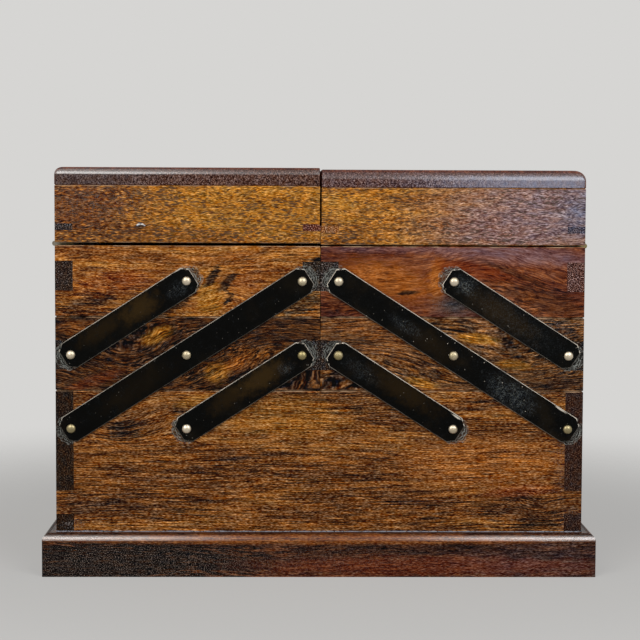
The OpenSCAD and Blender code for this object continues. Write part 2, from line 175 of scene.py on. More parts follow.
class BOX_PG_metals(bpy.types.PropertyGroup):
    """Colours of the metals, and sizes of what is made of them."""
    lacquer: colour("Lacquer", "Black lacquer of the arms", 4, 4, 3)
    lacquer_brown: colour("Lacquer, brown", "Brown cast where the lacquer is thin", 26, 20, 11)
    lacquer_glow: colour("Lacquer, worn", "Olive brown of the thinnest lacquer", 58, 42, 18)
    edge: colour("Filed edge", "Bright metal of the filed edges", 232, 222, 206)
    scuff: colour("Scuffs", "Blue-grey scuffs on the lacquer", 74, 80, 86)
    scrape: colour("Scrapes", "Pale thin scrapes through the lacquer", 150, 154, 146)
    nickel: colour("Rivets", "Pale metal of the rivets", 214, 200, 178)
    tarnish: colour("Tarnish", "Tarnish of the rivets", 132, 120, 74)
    brass: colour("Hinges", "Dull brass of the hinges", 124, 118, 106)
    steel: colour("Screws", "Steel of the hinge screws", 150, 142, 130)
    head_diameter: length("Rivet head", "Diameter of a rivet's head", 5.2)
    shank_diameter: length("Rivet shank", "Diameter of a rivet's shank", 3)
    head_height: length("Rivet dome", "Height of a rivet's head", 1.5)
    shank_depth: length("Rivet depth", "How deep a rivet is driven into its board", 7.4)


class BOX_PG_lids(bpy.types.PropertyGroup):
    """Shape of the lid tops, and of the wax line."""
    left_round: length("Left round", "Radius of the round along the left lid's top", 4)
    right_round: length("Right round", "Radius of the round along the right lid's top", 5.5)
    corner_round: length("Corner", "Radius of a lid top's outer corners, seen from above", 2)
    inner_round: length("Inner arris", "Radius of the arrises along the split", 0.5)
    unevenness: length("Unevenness", "How far the hand-planed surface wanders", 0.12)
    wax_radius: length("Wax line", "Radius of the wax line at the foot of the base box", 0.45)


class BOX_PG_stage(bpy.types.PropertyGroup):
    """Camera, lamps and surroundings."""
    camera_side: length("Camera side", "How far the camera stands left of the centre line", 17.3)
    camera_distance: length("Camera distance", "Distance from the front face to the camera", 950)
    camera_height: length("Camera height", "Height of the camera above the table", 205)
    camera_yaw: angle("Yaw", "How far the camera looks to the right", 1.032)
    camera_pitch: angle("Pitch", "How far the camera looks down", 3.963)
    camera_roll: angle("Roll", "How far the camera leans", 0.243)
    camera_lens: bpy.props.FloatProperty(
        name="Lens", description="Focal length on a 36 mm wide sensor", subtype="DISTANCE_CAMERA",
        default=99.12)
    lamp_power: bpy.props.FloatProperty(
        name="Lamps", description="Power of each soft lamp", subtype="POWER", unit="POWER", default=4.3)
    ambient: bpy.props.FloatProperty(
        name="Ambient", description="Strength of the light from all round", subtype="FACTOR", min=0,
        max=1, default=0.28)
    backdrop: colour("Backdrop", "Pale colour behind the box", 214, 213, 211)
    floor: colour("Floor", "Pale colour of the floor", 196, 195, 193)


class BOX_PG_settings(bpy.types.PropertyGroup):
    """All the settings of the expanding box."""
    woods: bpy.props.PointerProperty(type=BOX_PG_woods, name="Woods", description="Timber colours")
    metals: bpy.props.PointerProperty(type=BOX_PG_metals, name="Metals", description="Metal finishes")
    lids: bpy.props.PointerProperty(type=BOX_PG_lids, name="Lids", description="Lid top shape")
    stage: bpy.props.PointerProperty(type=BOX_PG_stage, name="Stage", description="Camera and light")


class Wire:
    """An output of a node. Sums with it add Math nodes, and an index gives the node's other outputs."""

    def __init__(self, graph, socket):
        self.graph = graph
        self.socket = socket

    def __getitem__(self, output):
        return Wire(self.graph, self.socket.node.outputs[output])

    def __add__(self, other):
        return self.graph.math("ADD", self, other)

    def __radd__(self, other):
        return self.graph.math("ADD", other, self)

    def __sub__(self, other):
        return self.graph.math("SUBTRACT", self, other)

    def __rsub__(self, other):
        return self.graph.math("SUBTRACT", other, self)

    def __mul__(self, other):
        return self.graph.math("MULTIPLY", self, other)


class Graph:
    """Short calls that add nodes to a tree and link them."""

    def __init__(self, tree):
        self.tree = tree
        self.tree.nodes.clear()

    def add(self, kind, inputs=None, **settings):
        """Adds a node and gives its first output. A shader node's kind is given without the start
        ShaderNode. Inputs are given by name or number, as values, wires or a list of wires."""
        node = self.tree.nodes.new(kind if "Node" in kind else f"ShaderNode{kind}")
        for name, value in settings.items():
            setattr(node, name, value)
        for key, value in (inputs or {}).items():
            for item in value if isinstance(value, list) else [value]:
                if isinstance(item, Wire):
                    self.tree.links.new(item.socket, node.inputs[key])
                else:
                    node.inputs[key].default_value = item
        return Wire(self, next((socket for socket in node.outputs if socket.enabled), None))

    def math(self, operation, first, second=0.0, clamp=False):
        """A Math node, or a Vector Math node where the first value is a vector or a colour."""
        if isinstance(first, Wire) and first.socket.type in {"VECTOR", "RGBA"}:
            second = (second,) * 3 if isinstance(second, (int, float)) else second
            return self.add("VectorMath", {0: first, 1: second}, operation=operation)
        return self.add("Math", {0: first, 1: second}, operation=operation, use_clamp=clamp)

    def most(self, first, *others):
        """The largest of some values."""
        for other in others:
            first = self.math("MAXIMUM", first, other)
        return first

    def split(self, vector):
        """The three parts of a vector, as outputs 0 to 2."""
        return self.add("SeparateXYZ", {0: vector})

    def parts(self, vector):
        """The three parts of a vector, without their signs."""
        return self.split(self.math("ABSOLUTE", vector))

    def noise(self, vector, factors, detail=2.0, roughness=0.5):
        """A soft noise round 0.5, and its colour as output 1. The larger the factors, the finer."""
        return self.add("TexNoise", {
            "Vector": vector * factors, "Scale": 1.0, "Detail": detail, "Roughness": roughness})

    def cells(self, vector, factors):
        """Distance to the nearest of many scattered points, one in each unit cube."""
        return self.add("TexVoronoi", {"Vector": vector * factors, "Scale": 1.0})

    def lines(self, vector, factors, width):
        """Thin curly lines, where a soft noise crosses its middle value."""
        level = self.math("ABSOLUTE", self.noise(vector, factors, detail=1) - 0.5)
        return self.step(level, width, width * 0.4)

    def step(self, value, start, end, low=0.0, high=1.0):
        """Goes smoothly from low to high as the value goes from start to end."""
        return self.add("MapRange", {
            "Value": value, "From Min": start, "From Max": end, "To Min": low, "To Max": high,
        }, interpolation_type="SMOOTHSTEP")

    def mix(self, factor, first, second):
        """Mixes two colours, given as wires or as three numbers."""
        first, second = (tone if isinstance(tone, Wire) else (*tone[:3], 1) for tone in (first, second))
        return self.add("Mix", {0: factor, 6: first, 7: second}, data_type="RGBA")

    def ramp(self, factor, stops):
        """A colour ramp through three stops, each a place and three numbers."""
        wire = self.add("ValToRGB", {0: factor})
        elements = wire.socket.node.color_ramp.elements
        elements.new(0.5)
        for element, (place, tone) in zip(elements, stops):
            element.position = place
            element.color = (*tone[:3], 1)
        return wire

    def bump(self, height, strength, millimetres):
        """A bump, at most so many millimetres high."""
        return self.add("Bump", {"Height": height, "Strength": strength, "Distance": millimetres * MM})

    def finish(self, shader, inputs):
        """Ends a material with a shader."""
        self.add("OutputMaterial", {0: self.add(shader, inputs)})
        return self.material


def new_material(name):
    """The Graph of a new material."""
    material = bpy.data.materials.new(name)
    material.use_nodes = True
    graph = Graph(material.node_tree)
    graph.material = material
    return graph


def tear(g, place):
    """Places moved about at random, so that a patch laid out on them gets a ragged edge."""
    return place + (g.noise(place, (0.13, 0.13, 0.3), detail=5, roughness=0.62)[1] - 0.5) * (14, 0, 7)


def blot(g, place, spot, soft=0.35, fray=None):
    """A soft patch seen from the front: 1 in its middle and 0 outside. Its spot is its middle x and
    z, half width and half height in millimetres, and its tilt in degrees, where it has one. A fray
    value round 0 eats into its edge."""
    x, z, width, height, tilt = (*spot, 0)[:5]
    endless = 1e6
    reach = g.math("LENGTH", g.add("Mapping", {
        "Vector": place, "Location": (x, 0, z), "Rotation": (0, -math.radians(tilt), 0),
        "Scale": (width, endless, height),
    }, vector_type="TEXTURE"))
    return g.step(reach if fray is None else reach + fray, 1 + soft, 1 - soft)


class Timber:
    """The looks of one kind of timber: three tones, and how strong each part of its pattern is."""
    figure = 0.62  # share of the broad bands in its figure
    wave = 1.6  # how far the grain wanders in long waves
    ripple = 0.5  # and in short ripples
    fibres = 1.0
    reach = 14.0  # length of a fibre in millimetres
    flecks = 0.5
    furrows = 1.0  # dark lines along the fibres
    pores = 0.5
    pore_share = 0.25
    pore_reach = 6.0  # length of a pore in millimetres
    dust = 0.0  # grey dust in the pores all over
    roughness = 0.45
    shine = 0.05
    coat = 0.0  # polish on its rounded edges
    end_speckle = 1.0  # specks on its end grain
    handled = (20, 120, 0.3)  # from the middle of the box, where polish is dulled, and what is left of it

    def __init__(self, woods, name, **changes):
        self.pore, self.end, self.dust_tone = woods.pore, woods.end_grain, woods.dust
        self.tones = [getattr(woods, f"{name}_{part}") for part in TONES]
        for part, value in {**TIMBERS[name][-1], **changes}.items():
            setattr(self, part, value)


def wood(name, woods, timber, along, shift, stains_and_painted_light=(), ends=(), bends=(), dusty=(), sheens=(), worn=1.0,
         end_dark=0.97, end_tint=None):
    """An oiled hardwood with its grain along one axis. Stains in the wood, among which stand a few
    patches of painted shade and painted light, and painted sheens on its front face, which are
    painted reflections, are a colour, a strength and a spot. Ends are where an arm ends on it,
    round which scratches and grime show. Bends are a spot and the slope of the grain round a knot,
    and dusty patches on the front face are a strength and a spot."""
    g = new_material(name)
    coordinates = g.add("TexCoord")
    place = coordinates["Object"] * 1000
    turned = g.add("Mapping", {
        "Vector": place, "Location": (shift * 37, shift * 11, shift * 23),
        "Rotation": (0, 0, 0 if along == "x" else -math.pi / 2),
    })
    facing = g.split(coordinates["Normal"])
    normal = g.parts(coordinates["Normal"])

    # The grain wanders in long waves and short ripples, and leans round the knots
    drift = (g.noise(turned, (0.011, 0.03, 0.03))[1] - 0.5) * (0, 6 * timber.wave, 6 * timber.wave)
    ripple = (g.noise(turned, (0.07, 0.16, 0.16))[1] - 0.5) * (3, 2 * timber.ripple, 2 * timber.ripple)
    grain = turned + drift + ripple
    for *spot, slope in bends:
        lean = (g.split(place) - spot[0]) * -slope * blot(g, place, spot, 0.6)
        grain = grain + g.add("CombineXYZ", {2: lean})

    broad = g.noise(grain, (0.014, 0.07, 0.07), detail=3, roughness=0.55)
    bands = g.noise(grain, (0.03, 0.34, 0.34), detail=3, roughness=0.55)
    tone = broad * timber.figure + bands * (1 - timber.figure)
    surface = g.ramp(tone, zip((0.33, 0.5, 0.67), timber.tones))

    # Stains, knots, painted shade and painted sheens lie under the fibres. Stains fray along them, large ones most
    fibres = g.noise(grain, (1 / timber.reach, 1.5, 1.5), detail=1, roughness=0.7)
    torn = tear(g, place)
    frayed = place * 0.65 + torn * 0.35
    for tint, strength, *spot in stains_and_painted_light:
        height = spot[3]
        fray = (fibres - 0.5) * (1.8 * min(1, max(0.3, height / 6)))
        mask = blot(g, torn if height > 4 else frayed, spot, fray=fray)
        surface = g.mix(mask * strength, surface, tint)
    # End grain drinks the oil and goes dark
    end = g.step(normal["xy".index(along)], 0.45, 0.8, 0, end_dark)
    long_side = 1 - end
    surface = g.mix(end, surface, end_tint or timber.end)
    # Painted sheens: colours laid over the front face alone as painted reflections. Glare is how strong they are,
    # and it dims the specks and warm fibres under them
    front = g.step(facing[1], -0.8, -0.97)
    glare = 0.0
    for tint, strength, *spot in sheens:
        mask = blot(g, place, spot, 0.9) * strength * front
        surface = g.mix(mask, surface, tint)
        glare = g.most(glare, mask)

    # Orange fibres and fine flecks, or specks on end grain, and a play of hue. They are as strong on
    # dark wood as on light wood, so they are added to the colour as the eye sees it
    flecks = g.noise(grain, (0.6, 2.8, 2.8), detail=1)
    specks = g.noise(place, 1.7, detail=1, roughness=0.7)
    furrows = g.lines(grain, (0.5 / timber.reach, 0.62, 0.62), 0.035)
    furrows = furrows * g.step(flecks, 0.36, 0.56, 0, 0.16 * timber.furrows)
    sinews = ((fibres - 0.5) * (1.3 * timber.fibres) - furrows) * long_side
    hue = g.noise(grain, (0.14, 0.4, 0.4), roughness=0.6) - 0.5
    hue = hue * (0.26 * min(1, timber.fibres))
    speckle = (specks - 0.5) * (1.8 * timber.end_speckle)
    speckle = speckle * g.math("SUBTRACT", 1.25, glare, clamp=True)
    swing = (flecks - 0.5) * (1.3 * timber.flecks)
    swing = swing + end * (speckle - swing) + sinews * 0.9
    warm = hue + sinews * g.math("SUBTRACT", 0.4, glare, clamp=True)
    change = g.add("CombineXYZ", {0: swing + warm, 1: swing, 2: swing - warm})
    seen = g.add("Gamma", {"Color": surface, "Gamma": 1 / 2.2})
    surface = g.add("Gamma", {"Color": g.most(seen + change, 0.03), "Gamma": 2.2})

    dashes = g.cells(grain, (1 / timber.pore_reach, 1.35, 1.35))
    thin = g.noise(grain, (0.1, 0.35, 0.35))
    crowd = (thin - 0.5) * (1.2 * timber.pores) + broad * 0.5
    limit = 0.11 + timber.pore_share
    open_pore = g.step(dashes + crowd, limit + 0.08, limit - 0.06) * long_side
    surface = g.mix(open_pore * timber.pores, surface, timber.pore)

    # Grey dust and wax in the pores
    dust = timber.dust
    for strength, *spot in dusty:
        dust = dust + blot(g, torn, spot, 0.6) * strength * front
    grit = g.noise(place, 1.9, detail=1)
    dust = g.math("MULTIPLY", g.step(grit, 0.57, 0.66), dust, clamp=True)
    surface = g.mix(dust, surface, timber.dust_tone)

    if ends:
        # Rings of scratches and a ring of grime, on the outer face of the board alone
        flat = place * (1, 0, 1)
        away = [g.math("DISTANCE", flat, (pivot.x / MM, 0, pivot.z / MM)) for pivot in ends]
        near = away[0]
        for other in away[1:]:
            near = g.math("MINIMUM", near, other)
        ragged = g.noise(place, 0.3, detail=3, roughness=0.6) - 0.5
        arcs = g.math("SINE", (near + ragged * 4) * 5.2)
        near = near + ragged * 5
        skin = g.step(g.parts(place)[1], -FRONT / MM - 0.8, -FRONT / MM - 0.5)
        surface = g.mix(g.step(near, 7.8, 6.2, 0, 0.75) * skin, surface, woods.grime)
        arcs = g.step(arcs, 0.3, 0.85) * g.step(g.noise(place, 0.4), 0.38, 0.52)
        marks = g.most(arcs, g.lines(place, 0.5, 0.045) * 0.5) * g.step(near, 8.1, 7.2)
        marks = marks * g.step(specks, 0.3, 0.6, 0.35, 0.95)
        surface = g.mix(marks * skin, surface, woods.scratch)

    # Worn and polished arrises, where no face of the board is square to an axis
    square = g.most(normal[0], normal[1], normal[2])
    rubbed = g.noise(place, 0.12, detail=3)
    edge = g.step(square, 0.985, 0.93) * g.step(rubbed, 0.38, 0.64, 0, worn)
    surface = g.mix(edge, surface, woods.worn)
    # The polish shines on the rounds, below where they turn level, and softly on a level top. Hands
    # have dulled it towards the middle of the box
    polish = g.step(facing[2], 0.03, 0.14) * g.step(facing[2], 0.9, 0.6)
    polish = polish + g.step(facing[2], 0.995, 0.999, 0, 0.35)
    polish = polish * timber.coat * g.step(g.parts(place)[0], *timber.handled, 1)
    gloss = thin * 0.22 + (timber.roughness - 0.11)
    bump = g.bump(fibres * 1.2 - open_pore * 0.8 + specks, 0.5, 0.12)
    return g.finish("BsdfPrincipled", {
        "Base Color": surface, "Roughness": g.math("ADD", gloss, open_pore * 0.12, clamp=True),
        "Specular IOR Level": timber.shine, "Coat Weight": polish, "Coat Roughness": 0.31,
        "Coat IOR": 2.8, "Normal": bump, "Coat Normal": bump,
    })


def lacquered_metal(name, metals, head, chipped, bright, glows, scuffs, nicks):
    """Black lacquer on metal, filed bright along its bevels, most round its upper end, the head, and
    painted brighter where the bevels face up, a painted highlight. Glows and scuffs are a strength
    and a spot, and nicks, where the edge is bare, are a spot."""
    g = new_material(name)
    coordinates = g.add("TexCoord")
    place = coordinates["Object"] * 1000
    outward = g.parts(coordinates["Normal"])[1]
    upward = g.split(coordinates["Normal"])[2]
    cloud = g.noise(place, 0.06, detail=4, roughness=0.6)
    surface = g.mix(g.step(cloud, 0.5, 0.75, 0, 0.7 * bright), metals.lacquer, metals.lacquer_brown)
    mottle = g.noise(place, 0.22, detail=5, roughness=0.7)
    fray = (mottle - 0.5) * 2.5
    for strength, *spot in glows:
        surface = g.mix(blot(g, place, spot, 0.7, fray) * strength, surface, metals.lacquer_glow)
    grit = g.noise(place, 2.2, roughness=0.75)
    rubbed = g.step(grit, 0.56, 0.7) * g.step(mottle, 0.5, 0.7, 0.12 * chipped, 0.25)
    for strength, *spot in scuffs:
        mask = blot(g, place, spot, 0.7, fray) * strength
        rubbed = g.most(rubbed, mask * g.step(grit, 0.48, 0.66))
        scraped = mask * mask * g.step(grit, 0.4, 0.6, 0.1, 0.8) * g.lines(place, 0.45, 0.04)
        surface = g.mix(scraped, surface, metals.scrape)
    surface = g.mix(rubbed, surface, metals.scuff)
    # Filed bevels show bare metal, worn off in places. Where they face up they are painted brighter, a painted
    # highlight of the light from above
    bevel = g.step(outward, 0.25, 0.4) * g.step(outward, 0.97, 0.9)
    crown = blot(g, place, (*head, 8, 8), 0.2)
    bevel = bevel * g.most(g.step(upward, -0.25, 0.3, 0.22, 1), crown)
    bare = bevel * g.step(mottle, 0.36, 0.56, 0.3 * bright, 0.95 * bright)
    # So do a few chips and nicks
    chips = g.step(g.cells(place, 0.42), 0.12, 0.07) * g.step(mottle, 0.5, 0.62, 0, chipped)
    bare = g.most(bare, chips, *(blot(g, place, nick, 0.4, fray) * 0.8 for nick in nicks))
    surface = g.mix(bare, surface, metals.edge)
    return g.finish("BsdfPrincipled", {
        "Base Color": surface, "Metallic": bare * 0.6, "Specular IOR Level": 0.04,
        "Roughness": g.step(mottle, 0.3, 0.7, 0.32, 0.46), "Normal": g.bump(mottle, 0.25, 0.1),
    })


def plain_metal(name, bright, dull, roughness, grain, spots=()):
    """Old bare metal that goes from bright to tarnished in soft clouds, with fine rubbed marks.
    Spots of tarnish are a strength and a spot."""
    g = new_material(name)
    place = g.add("TexCoord")["Object"] * 1000
    cloud = g.noise(place, grain, detail=4, roughness=0.6)
    marks = g.noise(place, (6, 1.5, 1.5), detail=3)
    tone = cloud * 0.7 + marks * 0.3
    tarnished = g.most(g.step(tone, 0.42, 0.68), *(
        blot(g, place, spot) * strength for strength, *spot in spots))
    return g.finish("BsdfPrincipled", {
        "Base Color": g.mix(tarnished, bright, dull), "Metallic": 1.0,
        "Roughness": g.step(tone, 0.35, 0.7, roughness, roughness + 0.2),
        "Normal": g.bump(marks, 0.25, 0.05),
    })


def dusty_wax(name, woods):
    """Old wax and dust, broken up by darker crumbs."""
    g = new_material(name)
    place = g.add("TexCoord")["Object"] * 1000
    crumbs = g.noise(place, (0.7, 0.7, 1.5), detail=4, roughness=0.7)
    return g.finish("BsdfPrincipled", {
        "Base Color": g.mix(g.step(crumbs, 0.36, 0.52), woods.grime, woods.wax), "Roughness": 0.7,
        "Specular IOR Level": 0.25, "Normal": g.bump(crumbs, 0.6, 0.2),
    })


def paint(node, material):
    """Gives a CAD node its material."""
    slots = frame["nodes"][node].data.materials
    for i in range(len(slots)):
        slots[i] = material


def add_piece(name, mesh, body, replaced=()):
    """A finished piece that rides on a body and stands for the CAD nodes that it replaces."""
    piece = bpy.data.objects.new(name, mesh)
    bpy.context.scene.collection.objects.link(piece)
    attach(piece, body)
    if replaced:
        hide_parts(*replaced)


def settings_of(context):
    return context.scene.expanding_box


# Tones of the stains and knots. KNOT_AND_SHADOW and DEEP also colour painted shadows below two arms, ORANGE also a
# band of painted light along the plinth's round, and MAUVE is the tone of a painted reflection
KNOT_AND_SHADOW = shade(34, 18, 8)
DEEP = shade(62, 34, 16)
GOLD = shade(176, 116, 36)
REDDER = shade(134, 58, 22)
ORANGE = shade(170, 96, 34)
MAUVE = shade(126, 98, 104)
CHIPPED = shade(226, 220, 214)

# Each front: its timber, stains and painted shade, grain bends, dusty patches and painted sheens
FRONTS = {
    "base_front_board": ("front", [
        (GOLD, 0.35, -15, 87, 34, 11), (shade(176, 106, 44), 0.6, 90, 61, 42, 13),
        (REDDER, 0.45, 110, 46, 20, 3, 4), (DEEP, 0.6, 112, 34, 22, 7), (DEEP, 0.5, 6, 54, 26, 4),
        (DEEP, 0.5, -100, 38, 36, 8), (KNOT_AND_SHADOW, 0.85, -107, 79, 9, 5.5, 14),
        (KNOT_AND_SHADOW, 0.8, -75, 92, 6, 5, 30), (KNOT_AND_SHADOW, 0.6, 118, 27, 14, 3), (GOLD, 0.5, -66, 95, 12, 3, 10),
        (DEEP, 0.6, 24, 93, 26, 9, -20),
    ], [(130, 38, 14, 8, 0.22), (-92, 84, 24, 12, 0.3)], [
        (0.7, -135, 28, 6, 3), (0.35, 131, 66, 3, 20), (0.6, 138, 29, 6, 6),
    ], []),
    "left_middle_front": ("middle", [
        # The DEEP patch at (-40, 129) is a painted shadow along the lower edge of the left long arm
        (shade(120, 70, 32), 0.6, -124, 135, 20, 4), (DEEP, 0.6, -108, 118, 22, 6, 33),
        (DEEP, 0.6, -40, 129, 26, 5, 30), (REDDER, 0.3, -122, 106, 16, 3, 20),
        (KNOT_AND_SHADOW, 0.9, -66, 109, 5, 8), (ORANGE, 0.4, -45, 115, 8, 4, 30),
        (GOLD, 0.55, -88, 130.5, 8.5, 4, 24), (GOLD, 0.4, -56, 110, 6.5, 5.5, 30),
        (KNOT_AND_SHADOW, 0.75, -16, 108, 12, 4, 20),
    ], [(-60, 118, 60, 18, 0.45)], [(0.9, -110.6, 107.9, 1.3, 1.4, 60)], []),
    "right_middle_front": ("brown", [
        (ORANGE, 0.25, 28, 134, 26, 6, -14), (GOLD, 0.85, 85, 129, 11, 2.7, -6),
        (GOLD, 0.6, 105, 115, 9, 2.6, -4), (GOLD, 0.7, 55, 105, 9, 2.6, -14),
        (DEEP, 0.7, 130, 134, 14, 5, -12), (DEEP, 0.6, 132, 106, 12, 5, -8),
        (DEEP, 0.7, 16, 106, 12, 5), (KNOT_AND_SHADOW, 0.4, 66, 124, 10, 2, -20), (DEEP, 0.25, 22, 128, 26, 9),
        (shade(140, 88, 44), 0.4, 48, 122, 16, 8, -20),
    ], [(60, 118, 60, 16, -0.28)], [(0.5, 128, 137, 10, 3, -20)], []),
    "left_upper_front": ("upper", [
        # The dark patch at (-77, 148) is a painted shadow along the lower side of the left upper arm, and the
        # patch at (-9, 147), below the long arm's end, is painted darker
        (REDDER, 0.5, -112, 158, 22, 7, 8), (REDDER, 0.3, -40, 156, 9, 9),
        (shade(92, 46, 14), 0.6, -116, 149, 34, 7), (GOLD, 0.75, -60, 150, 7, 8, 24),
        (DEEP, 0.75, -126, 147, 14, 5, 10), (KNOT_AND_SHADOW, 0.8, -77, 148, 11, 3, 33),
        (shade(64, 44, 22), 0.85, -9, 147, 13, 5, 24), (KNOT_AND_SHADOW, 0.95, -58, 163, 6.4, 2.4, 54),
        (KNOT_AND_SHADOW, 0.95, -50, 160, 6.6, 2.1, 44), (KNOT_AND_SHADOW, 0.85, -49.5, 153, 1.8, 6, 8),
        (shade(16, 12, 8), 1.0, -2.5, 169, 6, 3.2, 33),
    ], [(-58, 152, 14, 10, 0.35)], [], []),
    "right_upper_front": ("red", [
        (ORANGE, 0.75, 36, 161, 24, 9, -14), (ORANGE, 0.9, 63, 160, 4.5, 12),
        (REDDER, 0.6, 82, 166, 20, 4, -10), (DEEP, 0.6, 120, 150, 28, 7, -18),
        (KNOT_AND_SHADOW, 0.5, 104, 165, 20, 1.6, -22), (DEEP, 0.5, 12, 148, 14, 6),
        (KNOT_AND_SHADOW, 0.95, 47, 154, 6, 1.2, 4),
    ], [(110, 164, 36, 14, -0.3)], [(0.3, 72, 147, 12, 5)], [
        # Painted sheens: the two MAUVE ones are a painted reflection along its top, and the last is a dark grey
        # patch below the right upper arm's end
        (MAUVE, 0.6, 112, 174, 44, 4, -4), (MAUVE, 0.35, 60, 178, 60, 2),
        (shade(58, 55, 56), 0.95, 73, 147.5, 11, 6),
    ]),
    "left_lid_front": ("lid", [
        (shade(102, 56, 28), 0.85, -132, 200, 36, 18), (GOLD, 0.6, -32, 198, 60, 14),
        (KNOT_AND_SHADOW, 0.7, -96.4, 189.6, 2.6, 1.4), (CHIPPED, 1.0, -97.5, 190.4, 1.3, 0.6, 35),
        (CHIPPED, 0.9, -95.4, 190.3, 1.2, 0.6, -30),
    ], [], [(0.4, -120, 202, 30, 10)], []),
    "right_lid_front": ("lid", [(REDDER, 0.4, 104, 190, 26, 10)], [],
                        [(0.2, 122, 200, 40, 20)], [
        # Painted sheens: a pale mauve and a bluish painted reflection over its right part
        (shade(140, 116, 120), 0.9, 130, 200, 56, 26, 12), (shade(114, 114, 132), 0.7, 140, 196, 9, 11),
    ]),
}
END_TINTS = {
    "base_left_board": shade(22, 8, 2), "base_right_board": shade(44, 22, 14),
    "left_upper_inner": shade(22, 17, 12), "left_upper_outer": shade(28, 14, 9),
    "right_upper_outer": shade(77, 40, 31),
    "left_lid_inner": shade(92, 42, 30), "right_lid_inner": shade(136, 84, 42),
    # The right lid's outer end is blue-grey in part as a painted reflection, like the painted sheen on the right
    # lid's front
    "left_lid_outer": shade(36, 32, 34), "right_lid_outer": shade(62, 60, 76),
}
WAX_CRUMB = (1.0, -135.5, 27.5, 3.5, 2.2)  # on the foot of the left board
PLINTH_DUST = [(0.8, -106, 6, 60, 12), (0.3, 0, 10, 60, 8), (0.9, 149, 1, 2, 2)]
# On the plinth: its left part is darkened almost to black, an orange band along its round just below the highlight
# is in part painted light where the round is lit most, a redder patch lies low on the right, and a bluish painted
# sheen, a painted reflection, lies on its lower right
PLINTH_STAINS_AND_PAINTED_LIGHT = [(shade(18, 8, 4), 0.97, -112, 8, 76, 14), (ORANGE, 0.5, 0, 20.5, 152, 2.5),
                 (REDDER, 0.4, 60, 6, 90, 5)]
PLINTH_PAINTED_SHEEN = (shade(92, 82, 88), 0.2, 122, 8, 40, 8)

# Each lid top: how its timber differs, and the painted sheen on its front, a painted reflection, pale and bluish
# on the right lid
LID_TOPS = {
    "left": (dict(end=shade(82, 54, 44), coat=0.85), (shade(74, 66, 66), 0.5, -130, 214, 34, 20)),
    "right": (dict(end=shade(88, 62, 58), coat=0.4, handled=(0, 150, 0.4)),
              (shade(138, 134, 148), 0.95, 122, 213, 50, 14)),
}

# Each pair of arms: how chipped it is, how bright its edges are, its glows, scuffs and nicks
ARMS = {
    "left_long": (0.2, 0.6, [(0.1, -100, 102, 20, 5, 33)], [], []),
    "left_upper": (0.2, 0.8, [(0.7, -97, 145.5, 9, 5, 33), (0.3, -118, 134, 12, 4, 33)],
                   [(0.4, -76, 156, 6, 4, 33)], [(-76, 166.6, 2.8, 0.4, 33)]),
    "left_lower": (0.3, 0.8, [(0.75, -31, 108.5, 12, 5, 33), (0.35, -48, 98, 12, 4, 33)],
                   [(0.5, -19, 113, 4, 3, 33)], []),
    "right_long": (0.8, 1.0, [(0.15, 60, 126, 16, 5, -33)],
                   [(0.7, 104, 99, 13, 6, -33), (0.5, 46, 136, 8, 3, -33)],
                   [(130.6, 91, 2.8, 0.4, -33)]),
    "right_upper": (0.5, 1.0, [(0.35, 96, 144, 20, 5, -33)],
                    [(0.9, 78, 158, 6, 4, -33), (0.25, 104, 140, 30, 7, -33)], []),
    "right_lower": (0.4, 1.0, [(0.35, 44, 102, 18, 5, -33)], [(0.3, 22, 112, 10, 4, -33)],
                    [(73.9, 86.9, 2.8, 0.5, -33)]),
}
# The rivets of the long arms' feet and of the left lower arm's head have tarnished most
TARNISHED = [(0.8, -134.5, 80.1, 4, 4), (0.8, 134.5, 80.1, 4, 4), (0.9, -9.8, 120.1, 4, 4),
             (0.3, 9.8, 160.1, 4, 4)]


class BOX_OT_boards(bpy.types.Operator):
    """Finish the boards of the base box, the trays, the lids and the plinth."""
    bl_idname = "expanding_box.boards"
    bl_label = "Boards"

    def execute(self, context):
        woods = settings_of(context).woods
        timbers = {name: Timber(woods, name) for name in TIMBERS}

        def board(node, timber, *looks, **others):
            paint(node, wood(node, woods, timbers[timber], *looks, **others))

        bodies = frame["record"]["behaviour"]["bodies"]
        holders = {node: body for body in rivets_by_body() for node in bodies[body]}
        for i, (node, (timber, stains_and_painted_light, bends, dusty, sheens)) in enumerate(FRONTS.items()):
            ends = arm_ends(holders[node]) if node in holders else ()
            board(node, timber, "x", i + 1, stains_and_painted_light, ends, bends, dusty, sheens)
        board("base_back_board", "front", "x", 8, (), arm_ends("base"))
        board("base_floor", "floor", "x", 9)
        for i, side in enumerate(SIDES):
            middle = ("middle", "brown")[i], arm_ends(f"{side}_middle_tray")
            upper = ("upper", "red")[i], arm_ends(f"{side}_upper_tray")
            base, outer, lid, floor = ("front", arm_ends("base")), (upper[0], ()), ("lid", ()), ("floor", ())
            for shift, (node, along, (timber, ends)) in enumerate((
                (f"{side}_middle_back", "x", middle), (f"{side}_upper_back", "x", upper),
                (f"{side}_lid_back", "x", lid), (f"base_{side}_board", "y", base),
                (f"{side}_middle_outer", "y", middle), (f"{side}_middle_inner", "y", middle),
                (f"{side}_upper_outer", "y", outer), (f"{side}_upper_inner", "y", upper),
                (f"{side}_lid_outer", "y", lid), (f"{side}_lid_inner", "y", lid),
                (f"{side}_middle_floor", "x", floor), (f"{side}_upper_floor", "x", floor),
            ), 11 + 12 * i):
                dusty = [WAX_CRUMB] if node == "base_left_board" else []
                board(node, timber, along, shift, (), ends, (), dusty, end_tint=END_TINTS.get(node))
        for shift, (rail, along) in enumerate(zip(("front", "back", "left", "right"), "xxyy"), 40):
            board(f"plinth_{rail}_rail", "plinth", along, shift, PLINTH_STAINS_AND_PAINTED_LIGHT, dusty=PLINTH_DUST,
                  sheens=[PLINTH_PAINTED_SHEEN], worn=0.0, end_dark=0.0)
        return {"FINISHED"}


